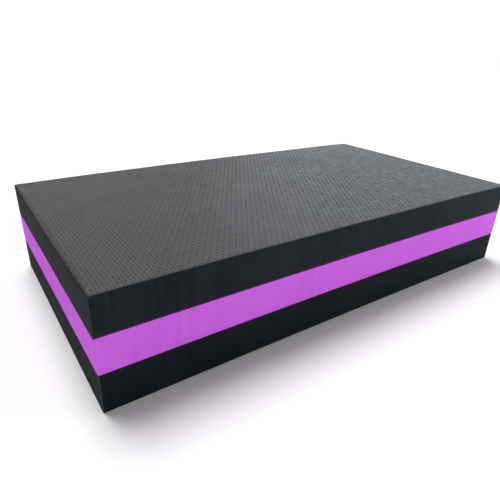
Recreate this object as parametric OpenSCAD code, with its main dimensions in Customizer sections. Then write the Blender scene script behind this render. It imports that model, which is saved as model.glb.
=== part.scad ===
// Kneeling pad: three slabs of closed-cell foam, bonded face to face into one block.
// The origin is the centre of the underside. X runs along the length, Y across the width, Z up.
// All sizes are in millimetres.

/* [Pad] */
// Length of the pad
pad_length = 460; // [300:5:600]
// Width of the pad
pad_width = 250; // [150:5:350]

/* [Slabs] */
// Thickness of the embossed black slab on top
top_slab_thickness = 29.6; // [15:0.1:45]
// Thickness of the purple slab in the middle
core_slab_thickness = 28.8; // [15:0.1:45]
// Thickness of the black slab at the bottom
bottom_slab_thickness = 31; // [15:0.1:45]
// Radius of the rolled edge along the left short end of the top slab
rolled_edge_radius = 4; // [1:0.5:12]

/* [Glue] */
// Thickness of each film of glue
glue_film_thickness = 0.3; // [0.1:0.05:0.6]
// Distance that the glue stops short of the cut sides
glue_setback = 1; // [0.5:0.5:5]

/* [Hidden] */
$fn = 64;

// Heights at which the pieces start, counted from the underside
lower_glue_z = bottom_slab_thickness;
core_slab_z = lower_glue_z + glue_film_thickness;
upper_glue_z = core_slab_z + core_slab_thickness;
top_slab_z = upper_glue_z + glue_film_thickness;

// A flat sheet of the pad's outline, trimmed back on all four sides
module sheet(thickness, trim = 0) {
    sheet_length = pad_length - 2 * trim;
    sheet_width = pad_width - 2 * trim;
    translate([-sheet_length / 2, -sheet_width / 2, 0])
        cube([sheet_length, sheet_width, thickness]);
}

// Side view of a slab, with the upper corner at its left end rolled over
module rolled_outline(length, thickness, radius) {
    square([length, thickness - radius]);
    translate([radius, 0])
        square([length - radius, thickness]);
    translate([radius, thickness - radius])
        circle(r = radius);
}

module bottom_slab() {
    color("#1c2224")
        sheet(bottom_slab_thickness);
}

module lower_glue_film() {
    color("#3a2f3f")
        translate([0, 0, lower_glue_z])
            sheet(glue_film_thickness, glue_setback);
}

module core_slab() {
    color("#bd5ed2")
        translate([0, 0, core_slab_z])
            sheet(core_slab_thickness);
}

module upper_glue_film() {
    color("#3a2f3f")
        translate([0, 0, upper_glue_z])
            sheet(glue_film_thickness, glue_setback);
}

module top_slab() {
    color("#2a3032")
        translate([-pad_length / 2, pad_width / 2, top_slab_z])
            rotate([90, 0, 0])
                linear_extrude(pad_width)
                    rolled_outline(pad_length, top_slab_thickness, rolled_edge_radius);
}

bottom_slab();
lower_glue_film();
core_slab();
upper_glue_film();
top_slab();
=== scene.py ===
"""Looks of a garden kneeling pad: three slabs of closed-cell foam, glued into one block.

Sizes are in metres, in the CAD model's frame: X along the pad, Y across it, Z up from its underside.
The part's own file gives the slabs; this one gives them a skin, cut sides, rounded edges paled by wear and
a painted highlight or darkened by glue and painted shade, and glue."""

import math

import bmesh
import bpy
import numpy as np
from mathutils import Matrix, Vector, noise


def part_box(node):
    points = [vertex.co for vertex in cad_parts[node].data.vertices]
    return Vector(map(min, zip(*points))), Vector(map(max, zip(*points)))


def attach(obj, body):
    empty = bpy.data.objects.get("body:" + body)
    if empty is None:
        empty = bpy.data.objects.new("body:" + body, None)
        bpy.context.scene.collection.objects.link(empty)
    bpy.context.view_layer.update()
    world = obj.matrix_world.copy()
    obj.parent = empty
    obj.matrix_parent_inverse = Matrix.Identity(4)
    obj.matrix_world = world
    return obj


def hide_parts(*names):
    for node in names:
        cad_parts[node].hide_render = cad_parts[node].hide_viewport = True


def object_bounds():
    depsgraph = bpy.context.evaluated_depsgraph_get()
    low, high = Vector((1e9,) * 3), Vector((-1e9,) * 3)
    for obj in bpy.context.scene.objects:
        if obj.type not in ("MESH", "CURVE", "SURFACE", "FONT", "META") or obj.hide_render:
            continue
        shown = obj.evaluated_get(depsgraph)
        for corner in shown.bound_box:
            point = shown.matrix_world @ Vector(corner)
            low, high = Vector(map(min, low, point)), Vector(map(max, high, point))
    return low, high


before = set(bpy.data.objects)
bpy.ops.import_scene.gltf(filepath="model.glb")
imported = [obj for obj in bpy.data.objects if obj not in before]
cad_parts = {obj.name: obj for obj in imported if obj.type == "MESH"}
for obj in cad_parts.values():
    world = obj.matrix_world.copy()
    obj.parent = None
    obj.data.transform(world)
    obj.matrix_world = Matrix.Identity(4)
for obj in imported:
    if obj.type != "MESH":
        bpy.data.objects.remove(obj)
cad_low, cad_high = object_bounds()

MM = 0.001
LENGTH, WIDTH, HEIGHT = cad_high - cad_low

# The pad as it lies: its ends touch the ground and its middle stands a little proud.
ARCH = 1.3 * MM
WAVES = 0.35 * MM
WAVE_SIZE = 75 * MM
WAVE_SEED = 5.0

# The moulded skin: deep and shallow pits in turn, like the squares of a chessboard. The rims of a pit
# and the saddles between pits lie a little below the corners where four tiles meet.
PIT_COLUMNS = 172
PIT_ROWS = 60
PIT_WIDTH = LENGTH / PIT_COLUMNS
PIT_LENGTH = WIDTH / PIT_ROWS
DEEP_PIT = {"half_width": 0.95 * MM, "trough": 0.75 * MM, "depth": 0.54 * MM}
SHALLOW_PIT = {"half_width": 0.90 * MM, "trough": 0.65 * MM, "depth": 0.32 * MM}
PIT_LEAN = 0.25
RIM_SINK = 0.06 * MM
SADDLE_SINK = 0.12 * MM
WELD = 0.02 * MM

# How much the depth of the pits varies, and over what distance.
UNEVEN = 0.5
UNEVEN_SIZE = 6 * MM

# The rolled edge at the left short end of the top slab, widest halfway along that end.
ROLL_AT_CORNER = 1.0 * MM
ROLL_AT_MIDDLE = 5.0 * MM

# Cut sides: two steps to each pit along X, one ring of points near each edge and coarser ones between.
STEPS_ALONG = 2 * PIT_COLUMNS
SHARP = math.radians(75)
EDGE_RADIUS = 0.5 * MM
EDGE_RING = 1.2 * MM
WALL_RINGS = 4

# The marks of the knife: short ripples on a slower swell. The seeds keep the patterns apart.
KNIFE_MARK = 0.12 * MM
KNIFE_PITCH = 7 * MM
KNIFE_SWELL = 42 * MM
KNIFE_SWELL_SHARE = 1.5
KNIFE_RUN = 160 * MM
SWELL_SEED = 40
END_SEED = 3
SIDE_SEED = 7

# The places of a slab's four finishes in its list of materials.
FLAT, CUT, ARRIS, GLUE_AND_SHADE = range(4)

# How far the edge of a glue film wanders, and over what distance.
GLUE_WANDER = 0.3 * MM
GLUE_PITCH = 9 * MM

# Light: white walls and a dimmer ceiling, a wide lamp above and behind, a big window at the right and
# behind, and a small fill lamp at the right and in front.
WALL_LIGHT = 1.2
CEILING_LIGHT = 0.2
CEILING_START = 0.15
CEILING_FULL = 0.45
WINDOW = {"place": (2.00, 0.72, 0.52), "size": (3.2, 1.6), "power": 25.0, "tint": (0.88, 0.96, 1.00)}
FILL = {"place": (1.60, -0.80, 0.30), "size": (1.0, 0.5), "power": 13.0, "tint": (1.00, 1.00, 1.00)}
OVERHEAD_POWER = 2.95
OVERHEAD_SPREAD = math.radians(32)
OVERHEAD_FROM = (-0.02, 0.40, 1.0)
FLOOR_SIZE = 60.0

CAMERA_LENS = 31.54
CAMERA_PLACE = (-0.2777, -0.3533, 0.2237)
CAMERA_TARGET = (-0.0032, 0.0359, 0.0)
CAMERA_ROLL = math.radians(2.04)


# ------------------------------------------------------------------------------------ materials

class Finish:
    """A material and short ways to add nodes to it. Patterns read Object coordinates."""

    def __init__(self, name):
        self.material = bpy.data.materials.new(name)
        self.material.use_nodes = True
        self.tree = self.material.node_tree
        self.shader = self.tree.nodes["Principled BSDF"]
        self.place = self.add("ShaderNodeTexCoord").outputs["Object"]

    def add(self, kind, settings=None, **inputs):
        """A node with its settings and inputs; an input is a value or another node's output."""
        node = self.tree.nodes.new(kind)
        for key, value in (settings or {}).items():
            setattr(node, key, value)
        for key, value in inputs.items():
            socket = node.inputs[key.replace("_", " ")]
            if isinstance(value, bpy.types.NodeSocket):
                self.tree.links.new(value, socket)
            else:
                socket.default_value = value
        return node

    def stretched(self, x, y, z):
        """Object coordinates with this many pattern lengths to the metre along each axis."""
        return self.add("ShaderNodeMapping", Vector=self.place, Scale=(x, y, z)).outputs["Vector"]

    def noise(self, place, detail=3.0, roughness=0.55):
        """Soft patches one pattern length wide."""
        node = self.add("ShaderNodeTexNoise", Vector=place, Scale=1.0, Detail=detail, Roughness=roughness)
        return node.outputs["Fac"]

    def cells(self, place):
        """Round cells one pattern length wide."""
        return self.add("ShaderNodeTexVoronoi", Vector=place, Scale=1.0).outputs["Distance"]

    def span(self, value, low, high, from_low=0.3, from_high=0.7):
        """value, spread from low to high as it goes from from_low to from_high."""
        limits = {"From_Min": from_low, "From_Max": from_high, "To_Min": low, "To_Max": high}
        return self.add("ShaderNodeMapRange", Value=value, **limits).outputs["Result"]

    def blend(self, share, first, second):
        """A colour between two colours."""
        node = self.add("ShaderNodeMix", {"data_type": "RGBA"})
        colours = [s for s in node.inputs if s.type == "RGBA"]
        self.tree.links.new(share, node.inputs[0])
        for socket, colour in zip(colours, (first, second)):
            if isinstance(colour, bpy.types.NodeSocket):
                self.tree.links.new(colour, socket)
            else:
                socket.default_value = (*colour, 1.0)
        return next(s for s in node.outputs if s.type == "RGBA")

    def relief(self, height, distance, under=None):
        """A bump of this distance in metres, on top of the bump under it."""
        node = self.add("ShaderNodeBump", Strength=1.0, Distance=distance, Height=height)
        if under is not None:
            self.tree.links.new(under, node.inputs["Normal"])
        return node.outputs["Normal"]

    def finish(self, colour, roughness, normal, **constants):
        """Joins the patterns to the shader, sets its constants and gives the finished material."""
        self.tree.links.new(colour, self.shader.inputs["Base Color"])
        self.tree.links.new(roughness, self.shader.inputs["Roughness"])
        self.tree.links.new(normal, self.shader.inputs["Normal"])
        for key, value in constants.items():
            self.shader.inputs[key.replace("_", " ")].default_value = value
        return self.material


def moulded_skin():
    """The closed skin of a moulded face: charcoal, with painted shade that darkens the pits and the rolled
    edge.
    """
    f = Finish("moulded_skin")
    pit = f.add("ShaderNodeAttribute", {"attribute_name": "pit"}).outputs["Fac"]
    patches = f.noise(f.stretched(22, 22, 22))
    colour = f.blend(f.span(patches, 0.0, 1.0), (0.054, 0.055, 0.061), (0.066, 0.067, 0.073))
    # Painted shade: the colour darkens with the pit attribute, down each pit and over the rolled edge.
    colour = f.blend(f.span(pit, 0.0, 1.0, 0.0, 0.9), colour, (0.007, 0.007, 0.009))
    grain = f.noise(f.stretched(2600, 2600, 2600), detail=2.0)
    rubbed = f.span(f.noise(f.stretched(60, 60, 60)), 0.42, 0.50)
    return f.finish(colour, rubbed, f.relief(grain, 0.03 * MM), Specular_IOR_Level=0.25)


def cut_foam(name, dark, light):
    """Foam cut across with a long knife: faint upright streaks and open cells."""
    f = Finish(name)
    streaks = f.noise(f.stretched(280, 280, 9), detail=4.0, roughness=0.65)
    patches = f.noise(f.stretched(28, 28, 28))
    mottled = f.blend(f.span(patches, 0.0, 0.6), dark, light)
    colour = f.blend(f.span(streaks, 0.0, 0.7), mottled, light)
    cells = f.cells(f.stretched(1900, 1900, 1900))
    normal = f.relief(cells, 0.10 * MM, under=f.relief(streaks, 0.25 * MM))
    roughness = f.span(streaks, 0.72, 0.85)
    return f.finish(colour, roughness, normal, Specular_IOR_Level=0.06)


def arris_finish(name, dark, light):
    """The rounded arris along a cut edge: paler where it is open, wear with a painted highlight, and
    darkened where it is glued, glue stain with painted shade in the joint.
    """
    f = Finish(name)
    edge_patches = f.noise(f.stretched(240, 240, 240), detail=4.0)
    colour = f.blend(f.span(edge_patches, 0.0, 1.0), dark, light)
    grain = f.noise(f.stretched(1500, 1500, 1500))
    return f.finish(colour, f.span(edge_patches, 0.7, 0.9), f.relief(grain, 0.05 * MM), Specular_IOR_Level=0.3)


def dried_glue():
    """Dark contact glue, dried in small beads where it was squeezed."""
    f = Finish("dried_glue")
    beads = f.noise(f.stretched(300, 300, 300))
    colour = f.blend(f.span(beads, 0.0, 1.0), (0.020, 0.012, 0.022), (0.045, 0.025, 0.050))
    return f.finish(colour, f.span(beads, 0.45, 0.7), f.relief(beads, 0.15 * MM), Specular_IOR_Level=0.4)


# ----------------------------------------------------------------------------- the moulded skin

def pit_tile(name, half_width, trough, depth):
    """One pit in its own rectangle of skin, leaning a little.

    A low saddle at each end joins it to the next pit in its row."""
    bm = bmesh.new()
    across, along = PIT_WIDTH / 2, PIT_LENGTH / 2

    def point(x, y, z):
        return bm.verts.new((x, y, z))

    floor = [point(PIT_LEAN * y, y, -depth) for y in (-trough, trough)]
    saddles = [point(0, y, -SADDLE_SINK) for y in (-along, along)]
    for side in (-1, 1):
        corners = [point(side * across, y, 0) for y in (-along, along)]
        rim = [point(side * half_width + PIT_LEAN * y, y, -RIM_SINK) for y in (-along / 2, along / 2)]
        bm.faces.new((corners[0], corners[1], rim[1], rim[0]))
        bm.faces.new((rim[0], rim[1], floor[1], floor[0]))
        for corner, saddle, lip, bed in zip(corners, saddles, rim, floor):
            bm.faces.new((corner, saddle, lip))
            bm.faces.new((saddle, bed, lip))
    bmesh.ops.recalc_face_normals(bm, faces=bm.faces)
    if sum(face.normal.z for face in bm.faces) < 0:
        bmesh.ops.reverse_faces(bm, faces=bm.faces)
    mesh = bpy.data.meshes.new(name)
    bm.to_mesh(mesh)
    bm.free()
    return bpy.data.objects.new(name, mesh)


def emboss_tree():
    """A node tree that lays deep and shallow pit tiles in turn over a rectangle, as one welded skin.

    It comes with the identifiers of its inputs, by name."""
    tree = bpy.data.node_groups.new("embossed_skin", "GeometryNodeTree")
    sockets = {}
    for name, kind in (("Length", "Float"), ("Width", "Float"), ("Columns", "Int"), ("Rows", "Int"),
                       ("Deep Pit", "Object"), ("Shallow Pit", "Object"), ("Finish", "Material")):
        sockets[name] = tree.interface.new_socket(name, in_out="INPUT", socket_type="NodeSocket" + kind)
    tree.interface.new_socket("Skin", in_out="OUTPUT", socket_type="NodeSocketGeometry")
    given = tree.nodes.new("NodeGroupInput").outputs

    def add(kind, settings=None, **inputs):
        node = tree.nodes.new(kind)
        for key, value in (settings or {}).items():
            setattr(node, key, value)
        for key, value in inputs.items():
            socket = node.inputs[key.replace("_", " ")]
            if isinstance(value, bpy.types.NodeSocket):
                tree.links.new(value, socket)
            else:
                socket.default_value = value
        return node

    def math_node(operation, first, second=None):
        node = add("ShaderNodeMath", {"operation": operation})
        for socket, value in zip(node.inputs, (first, second)):
            if isinstance(value, bpy.types.NodeSocket):
                tree.links.new(value, socket)
            elif value is not None:
                socket.default_value = value
        return node.outputs[0]

    tile_width = math_node("DIVIDE", given["Length"], given["Columns"])
    tile_length = math_node("DIVIDE", given["Width"], given["Rows"])
    centres = add("GeometryNodeMeshGrid", Size_X=math_node("SUBTRACT", given["Length"], tile_width),
                  Size_Y=math_node("SUBTRACT", given["Width"], tile_length),
                  Vertices_X=given["Columns"], Vertices_Y=given["Rows"]).outputs["Mesh"]
    index = add("GeometryNodeInputIndex").outputs["Index"]
    column = math_node("FLOOR", math_node("DIVIDE", index, given["Rows"]))
    row = math_node("MODULO", index, given["Rows"])
    odd = math_node("MODULO", math_node("ADD", column, row), 2.0)
    even = math_node("SUBTRACT", 1.0, odd)
    joined = add("GeometryNodeJoinGeometry")
    for pit, chosen in (("Deep Pit", even), ("Shallow Pit", odd)):
        shape = add("GeometryNodeObjectInfo", Object=given[pit]).outputs["Geometry"]
        laid = add("GeometryNodeInstanceOnPoints", Points=centres, Selection=chosen, Instance=shape)
        tree.links.new(laid.outputs["Instances"], joined.inputs["Geometry"])
    real = add("GeometryNodeRealizeInstances", Geometry=joined.outputs["Geometry"]).outputs["Geometry"]
    welded = add("GeometryNodeMergeByDistance", Geometry=real, Distance=WELD).outputs["Geometry"]
    finished = add("GeometryNodeSetMaterial", Geometry=welded, Material=given["Finish"])
    out = tree.nodes.new("NodeGroupOutput")
    tree.links.new(finished.outputs["Geometry"], out.inputs["Skin"])
    return tree, {name: socket.identifier for name, socket in sockets.items()}


def embossed_face(finish):
    """The moulded skin of the whole pad as a flat mesh, its ridges at z = 0."""
    tree, keys = emboss_tree()
    deep, shallow = pit_tile("deep_pit", **DEEP_PIT), pit_tile("shallow_pit", **SHALLOW_PIT)
    holder = bpy.data.objects.new("skin", bpy.data.meshes.new("skin"))
    bpy.context.scene.collection.objects.link(holder)
    modifier = holder.modifiers.new("emboss", "NODES")
    modifier.node_group = tree
    for name, value in (("Length", LENGTH), ("Width", WIDTH), ("Columns", PIT_COLUMNS),
                        ("Rows", PIT_ROWS), ("Deep Pit", deep), ("Shallow Pit", shallow),
                        ("Finish", finish)):
        modifier[keys[name]] = value
    depsgraph = bpy.context.evaluated_depsgraph_get()
    mesh = bpy.data.meshes.new_from_object(holder.evaluated_get(depsgraph))
    for spent in (holder, deep, shallow):
        bpy.data.objects.remove(spent)
    return mesh


# -------------------------------------------------------------------------------- closed slabs

def stations():
    """Points round the pad's outline, anticlockwise from its front left corner.

    There is one at every corner of a pit tile, and one more in the middle of each tile along X."""
    xs = np.linspace(-LENGTH / 2, LENGTH / 2, STEPS_ALONG + 1)
    ys = np.linspace(-WIDTH / 2, WIDTH / 2, PIT_ROWS + 1)
    front = [(x, ys[0]) for x in xs[:-1]]
    right = [(xs[-1], y) for y in ys[:-1]]
    back = [(x, ys[-1]) for x in xs[:0:-1]]
    left = [(xs[0], y) for y in ys[:0:-1]]
    return front + right + back + left


def ring_at(bm, z, outline):
    """The points of an outline at one height."""
    return [bm.verts.new((x, y, z)) for x, y in outline]


def wall_between(bm, upper, lower):
    """Quads from one ring to the next below it."""
    return [bm.faces.new((upper[k - 1], lower[k - 1], lower[k], upper[k])) for k in range(len(upper))]


def flat_cap(bm, ring):
    """Closes a ring with strips that run straight across the pad, so that the arch can bend them."""
    back = STEPS_ALONG + PIT_ROWS
    for k in range(1, STEPS_ALONG - 1):
        bm.faces.new((ring[k], ring[k + 1], ring[back + STEPS_ALONG - k - 1], ring[back + STEPS_ALONG - k]))
    bm.faces.new(ring[STEPS_ALONG - 1:back + 2])
    bm.faces.new([*ring[back + STEPS_ALONG - 1:], ring[0], ring[1]])


def closed_slab(thickness, glued, skin=None):
    """A slab with its upper face at z = 0, moulded if a skin is given and sawn flat if not.

    Its arrises are rounded, and darkened at the heights in glued, with glue stain and painted shade in the
    joint."""
    bm = bmesh.new()
    outline = stations()
    inner = list(np.linspace(0, thickness, WALL_RINGS + 1)[1:-1])
    depths = [0, EDGE_RING, *inner, thickness - EDGE_RING, thickness]
    rings = [ring_at(bm, -depth, outline) for depth in depths]
    for upper, lower in zip(rings, rings[1:]):
        for face in wall_between(bm, upper, lower):
            face.material_index = CUT
    flat_cap(bm, rings[-1])
    if skin is None:
        flat_cap(bm, rings[0])
    else:
        sawn = len(bm.faces)
        bm.from_mesh(skin)
        for face in list(bm.faces)[sawn:]:
            face.material_index = FLAT
        rim = [v for v in bm.verts if v.is_boundary]
        for v in rim:
            v.co.z = 0
        bmesh.ops.remove_doubles(bm, verts=rim, dist=WELD)
    bmesh.ops.recalc_face_normals(bm, faces=bm.faces)
    sharp = [edge for edge in bm.edges if edge.calc_face_angle(0) > SHARP]
    bmesh.ops.bevel(bm, geom=sharp, offset=EDGE_RADIUS, segments=2, profile=0.5, affect="EDGES",
                    material=ARRIS)
    for face in bm.faces:
        height = face.calc_center_median().z
        # Glue stain with painted shade: the arrises beside a glued face take the dark joint finish.
        if face.material_index == ARRIS and min(abs(height - level) for level in glued) < EDGE_RADIUS:
            face.material_index = GLUE_AND_SHADE
    return bm


def knife_mark(along, z, seed):
    """How far a cut side stands proud at this place: upright ripples, nearly straight."""
    ripple = noise.noise((along / KNIFE_PITCH, z / KNIFE_RUN, seed))
    swell = noise.noise((along / KNIFE_SWELL, z / KNIFE_RUN, seed + SWELL_SEED))
    return KNIFE_MARK * (ripple + KNIFE_SWELL_SHARE * swell)


def add_knife_marks(bm, seed):
    """Ripples the four cut sides, each with its own pattern."""
    for v in bm.verts:
        x, y, z = v.co
        if abs(x) > LENGTH / 2 - EDGE_RADIUS:
            v.co.x += math.copysign(knife_mark(y, z, seed + math.copysign(END_SEED, x)), x)
        if abs(y) > WIDTH / 2 - EDGE_RADIUS:
            v.co.y += math.copysign(knife_mark(x, z, seed + math.copysign(SIDE_SEED, y)), y)


def mark_pits(bm, level, inward):
    """Makes the pits of a skin uneven, as the foam filled its mould, and stores how deep each point lies.

    That is 0 on a ridge, and 1 at the bottom of an average deep pit; the skin's finish paints shade by it."""
    layer = bm.verts.layers.float.new("pit")
    for v in bm.verts:
        share = (v.co.z - level) * inward / DEEP_PIT["depth"]
        if 0 < share < 1 + WELD / DEEP_PIT["depth"]:
            x, y, z = v.co / UNEVEN_SIZE
            share *= 1 + UNEVEN * noise.noise((x, y, inward))
            v.co.z = level + share * inward * DEEP_PIT["depth"]
            v[layer] = share


def roll_over_edge(bm, low, high):
    """Rolls the skin of the top slab down over its left short end.

    The pits fade over the outer half of the roll, and painted shade darkens it to the tone of a pit, where
    it turns away from the light."""
    pit = bm.verts.layers.float["pit"]
    for face in bm.faces:
        centre = face.calc_center_median()
        if centre.x < EDGE_RADIUS - LENGTH / 2 and centre.z > high - EDGE_RADIUS:
            face.material_index = CUT
    for v in bm.verts:
        bulge = math.sqrt(max(1 - (2 * v.co.y / WIDTH) ** 2, 0))
        radius = ROLL_AT_CORNER + (ROLL_AT_MIDDLE - ROLL_AT_CORNER) * bulge
        inside = max(v.co.x + LENGTH / 2, 0)
        if high - v.co.z < DEEP_PIT["depth"] * (1 + UNEVEN):
            v.co.z = high + (v.co.z - high) * min(2 * inside / radius, 1)
            # Painted shade: the roll takes the dark tone of a pit, darkest at the very edge.
            v[pit] = max(v[pit], 1 - inside / radius)
        away = max(radius - inside, 0)
        drop = radius - math.sqrt(radius * radius - away * away)
        v.co.z -= drop * (v.co.z - low) / (high - low)


def make_waves(bm, low, high):
    """Slow waves in the kneeling face, which fade out towards the glue."""
    for v in bm.verts:
        wave = noise.noise((v.co.x / WAVE_SIZE, v.co.y / WAVE_SIZE, WAVE_SEED))
        v.co.z += WAVES * wave * (v.co.z - low) / (high - low)


def arch(bm):
    """The pad's own bend from end to end."""
    for v in bm.verts:
        v.co.z += ARCH * (1 - (2 * v.co.x / LENGTH) ** 2)


def into_piece(bm, node, finishes):
    """The finished mesh as an object that stands for its CAD node."""
    mesh = bpy.data.meshes.new("finished_" + node)
    bm.to_mesh(mesh)
    bm.free()
    for finish in finishes:
        mesh.materials.append(finish)
    mesh.shade_smooth()
    piece = bpy.data.objects.new("finished_" + node, mesh)
    bpy.context.scene.collection.objects.link(piece)
    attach(piece, "root")
    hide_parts(node)
    return piece


def top_slab(skin, finishes):
    """The slab with the kneeling face."""
    low, high = (corner.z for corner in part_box("top_slab"))
    bm = closed_slab(high - low, [low - high], skin)
    bmesh.ops.translate(bm, verts=bm.verts, vec=(0, 0, high))
    mark_pits(bm, high, -1)
    add_knife_marks(bm, seed=11)
    roll_over_edge(bm, low, high)
    make_waves(bm, low, high)
    arch(bm)
    return into_piece(bm, "top_slab", finishes)


def core_slab(finishes):
    """The purple slab, sawn flat and glued on both faces."""
    low, high = (corner.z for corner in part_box("core_slab"))
    bm = closed_slab(high - low, [0, low - high])
    bmesh.ops.translate(bm, verts=bm.verts, vec=(0, 0, high))
    add_knife_marks(bm, seed=23)
    arch(bm)
    return into_piece(bm, "core_slab", finishes)


def bottom_slab(skin, finishes):
    """The lowest slab, its moulded skin turned to the ground."""
    low, high = (corner.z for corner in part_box("bottom_slab"))
    bm = closed_slab(high - low, [low - high], skin)
    bmesh.ops.rotate(bm, verts=bm.verts, matrix=Matrix.Rotation(math.pi, 3, "X"))
    bmesh.ops.translate(bm, verts=bm.verts, vec=(0, 0, low))
    mark_pits(bm, low, 1)
    add_knife_marks(bm, seed=37)
    arch(bm)
    return into_piece(bm, "bottom_slab", finishes)


def glue_film(node, finish, seed):
    """A dried film of glue whose edge wanders, as it was spread by hand and squeezed."""
    low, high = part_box(node)
    shares = [(2 * x / LENGTH, 2 * y / WIDTH) for x, y in stations()]
    edge = []
    for x, y in shares:
        wander = GLUE_WANDER * noise.noise((x * high.x / GLUE_PITCH, y * high.y / GLUE_PITCH, seed))
        edge.append((x * (high.x + wander), y * (high.y + wander)))
    bm = bmesh.new()
    upper = ring_at(bm, high.z, edge)
    lower = ring_at(bm, low.z, edge)
    wall_between(bm, upper, lower)
    flat_cap(bm, upper)
    flat_cap(bm, lower)
    bmesh.ops.recalc_face_normals(bm, faces=bm.faces)
    arch(bm)
    return into_piece(bm, node, [finish])


# ----------------------------------------------------------------------------- the studio

def aimed(obj, place, target, roll=0.0):
    """Puts a lamp or the camera at place, turned to target."""
    obj.location = place
    turn = (Vector(target) - Vector(place)).to_track_quat("-Z", "Y").to_matrix()
    obj.rotation_euler = (turn @ Matrix.Rotation(roll, 3, "Z")).to_euler()
    bpy.context.scene.collection.objects.link(obj)
    return obj


def make_camera():
    """The camera, held a little off level in front of the pad's left corner."""
    camera = bpy.data.cameras.new("camera")
    camera.sensor_width = 36.0
    camera.lens = CAMERA_LENS
    holder = bpy.data.objects.new("camera", camera)
    bpy.context.scene.camera = aimed(holder, CAMERA_PLACE, CAMERA_TARGET, CAMERA_ROLL)


def make_floor():
    """A wide, matt, nearly white floor."""
    f = Finish("pale_floor")
    tone = f.noise(f.stretched(3, 3, 3))
    colour = f.blend(f.span(tone, 0.0, 1.0), (0.89, 0.89, 0.89), (0.90, 0.90, 0.90))
    normal = f.relief(tone, 0.01 * MM)
    finish = f.finish(colour, f.span(tone, 0.85, 0.9), normal, Specular_IOR_Level=0.1)
    bpy.ops.mesh.primitive_plane_add(size=FLOOR_SIZE)
    floor = bpy.context.object
    floor.name = "floor"
    floor.data.materials.append(finish)


def studio_walls():
    """A room of white walls under a dimmer ceiling."""
    world = bpy.data.worlds.new("studio")
    bpy.context.scene.world = world
    world.use_nodes = True
    nodes, link = world.node_tree.nodes, world.node_tree.links.new
    split = nodes.new("ShaderNodeSeparateXYZ")
    link(nodes.new("ShaderNodeTexCoord").outputs["Generated"], split.inputs[0])
    strength = nodes.new("ShaderNodeMapRange")
    link(split.outputs["Z"], strength.inputs["Value"])
    for key, value in (("From Min", CEILING_START), ("From Max", CEILING_FULL),
                       ("To Min", WALL_LIGHT), ("To Max", CEILING_LIGHT)):
        strength.inputs[key].default_value = value
    background = nodes["Background"]
    background.inputs["Color"].default_value = (1.0, 1.0, 1.0, 1.0)
    link(strength.outputs["Result"], background.inputs["Strength"])


def softbox(name, place, size, power, tint):
    """A rectangular lamp turned to the pad."""
    lamp = bpy.data.lights.new(name, "AREA")
    lamp.shape = "RECTANGLE"
    lamp.size, lamp.size_y = size
    lamp.energy = power
    lamp.color = tint
    aimed(bpy.data.objects.new(name, lamp), place, (0, 0, HEIGHT))


def light_studio():
    """The room and its three lamps."""
    studio_walls()
    softbox("window", **WINDOW)
    softbox("fill", **FILL)
    lamp = bpy.data.lights.new("overhead", "SUN")
    lamp.energy = OVERHEAD_POWER
    lamp.angle = OVERHEAD_SPREAD
    aimed(bpy.data.objects.new("overhead", lamp), OVERHEAD_FROM, (0, 0, 0))
    bpy.context.scene.view_settings.view_transform = "Standard"


make_camera()
light_studio()
make_floor()

skin_finish = moulded_skin()
black_cut = cut_foam("cut_black_foam", (0.0055, 0.0080, 0.0095), (0.0170, 0.0210, 0.0235))
# Arris finishes a little paler than the cut foam: wear with a painted highlight along the edge.
black_arris_wear_and_highlight = arris_finish("black_arris_wear_and_painted_highlight", (0.022, 0.024, 0.025), (0.040, 0.044, 0.044))
# A darker copy of the black cut foam for the lowest slab: painted shade near the floor.
base_cut_painted_shade = cut_foam("cut_base_foam_painted_shade", (0.0030, 0.0055, 0.0075), (0.0100, 0.0140, 0.0175))
purple_cut = cut_foam("cut_purple_foam", (0.54, 0.098, 0.70), (0.60, 0.138, 0.74))
purple_arris_wear_and_highlight = arris_finish("purple_arris_wear_and_painted_highlight", (0.56, 0.12, 0.72), (0.62, 0.15, 0.78))
# Nearly black edges beside the glue: glue stain with painted shade in the joint.
black_joint_glue_and_shade = arris_finish("black_joint_glue_and_painted_shade", (0.004, 0.004, 0.005), (0.008, 0.006, 0.009))
purple_joint_glue_and_shade = arris_finish("purple_joint_glue_and_painted_shade", (0.050, 0.005, 0.070), (0.100, 0.010, 0.130))
glue = dried_glue()

face = embossed_face(skin_finish)
top_slab(face, [skin_finish, black_cut, black_arris_wear_and_highlight, black_joint_glue_and_shade])
core_slab([purple_cut, purple_cut, purple_arris_wear_and_highlight, purple_joint_glue_and_shade])
bottom_slab(face, [skin_finish, base_cut_painted_shade, black_arris_wear_and_highlight, black_joint_glue_and_shade])
glue_film("upper_glue_film", glue, seed=2.0)
glue_film("lower_glue_film", glue, seed=9.0)
